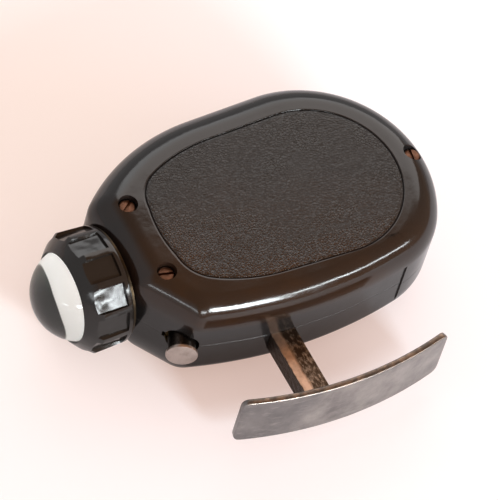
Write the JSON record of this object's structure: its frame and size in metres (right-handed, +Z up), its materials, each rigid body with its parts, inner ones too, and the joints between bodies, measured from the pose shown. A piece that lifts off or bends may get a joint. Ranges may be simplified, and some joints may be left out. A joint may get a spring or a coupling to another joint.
{
  "type": "dynamo flashlight",
  "caption": "Hand-squeezed dynamo flashlight: oval black moulded body, round screw cap with bull's-eye lens, curved grip plate on a rack bar, side button.",
  "frame": {"origin": "on the flat base, on the lamp's long axis, beside the rack bar", "axes": "+Z up from the base, lens towards -X, grip plate towards -Y"},
  "size_m": [0.1245, 0.0953, 0.036],
  "materials": {
    "bakelite": "glossy moulded black, worn",
    "cap_bakelite": "glossy moulded black",
    "screw_copper": "copper toned, worn",
    "brass": "tarnished brass",
    "bar_brass": "brown tarnish with worn edges",
    "lens_glass": "clear moulded glass",
    "bulb_clear": "clear glass",
    "seal_fibre": "dark",
    "bright_metal": "polished",
    "grip_steel": "worn grey nickel plate",
    "nickel": "dull nickel plate",
    "spring_steel": "bright drawn wire",
    "steel": "plain steel",
    "frame_steel": "dull stamped steel",
    "magnet": "cast alloy, dark",
    "core_steel": "laminated sheet steel",
    "bobbin_fibre": "brown pressed fibre",
    "copper_wire": "enamelled copper"
  },
  "bodies": {
    "housing": {"lower_shell": "bakelite", "upper_shell": "bakelite", "cover_screws": "screw_copper", "threaded_inserts": "brass", "lamp_neck": "brass", "reflector": "bright_metal", "bulb_glass": "bulb_clear", "bulb_base": "brass", "bulb_holder": "brass", "contact_strip": "brass", "return_spring": "spring_steel", "spring_pin": "steel", "bar_guide": "steel", "bar_stop": "steel", "lower_plate": "frame_steel", "upper_plate": "frame_steel", "frame_pillars": "steel", "pillar_nuts": "brass", "frame_screws": "steel", "core_spacers": "brass", "lower_bushes": "brass", "upper_bushes": "brass", "stator_core": "core_steel", "coil_bobbin": "bobbin_fibre", "coil_winding": "copper_wire", "button_guide": "brass", "button_spring": "spring_steel"},
    "plunger": {"grip_plate": "grip_steel", "rack_bar": "bar_brass"},
    "pinion": {"drive_pinion": "steel", "clutch_hub": "steel", "clutch_rollers": "steel"},
    "first_gear": {"drive_gear": "brass"},
    "second_gear": {"middle_pinion": "steel", "middle_gear": "brass"},
    "rotor": {"rotor_shaft": "steel", "rotor_magnet": "magnet"},
    "lens_unit": {"lens": "lens_glass", "lens_seal": "seal_fibre"},
    "cap": {"lens_cap": "cap_bakelite"},
    "button": {"push_button": "nickel"}
  },
  "joints": [
    {"name": "plunger_slide", "type": "slide", "parent": "housing", "child": "plunger", "axis": [0, 1, 0], "range_m": [0, 0.0205], "stiffness_N_per_m": 300, "springref_m": -0.01, "deforming": ["return_spring"]},
    {"name": "pinion_turn", "type": "hinge", "parent": "housing", "child": "pinion", "pos_m": [0.0021, 0, 0.012], "axis": [0, 0, -1], "range_deg": [0, 246]},
    {"name": "rotor_spin", "type": "hinge", "parent": "housing", "child": "rotor", "pos_m": [0.025, 0, 0.012], "axis": [0, 0, 1], "continuous": true},
    {"name": "second_gear_spin", "type": "hinge", "parent": "housing", "child": "second_gear", "pos_m": [0.01532, 0.00709, 0.012], "axis": [0, 0, 1], "continuous": true},
    {"name": "first_gear_spin", "type": "hinge", "parent": "housing", "child": "first_gear", "pos_m": [0.0021, 0, 0.012], "axis": [0, 0, 1], "continuous": true},
    {"name": "lens_slide", "type": "slide", "parent": "housing", "child": "lens_unit", "axis": [-1, 0, 0], "range_m": [0, 0.00225]},
    {"name": "cap_turn", "type": "hinge", "parent": "lens_unit", "child": "cap", "pos_m": [-0.05, 0, 0.018], "axis": [-1, 0, 0], "range_deg": [0, 542]},
    {"name": "button_press", "type": "slide", "parent": "housing", "child": "button", "axis": [0.4695, 0.8829, 0], "range_m": [0, 0.0035], "stiffness_N_per_m": 400, "springref_m": -0.003, "deforming": ["button_spring"]}
  ],
  "couplings": [
    {"joint": "pinion_turn", "follows": "plunger_slide", "rad_per_m": 208.33},
    {"joint": "second_gear_spin", "follows": "rotor_spin", "ratio": -0.25},
    {"joint": "first_gear_spin", "follows": "rotor_spin", "ratio": 0.0625},
    {"joint": "cap_turn", "follows": "lens_slide", "rad_per_m": 4188.8}
  ]
}
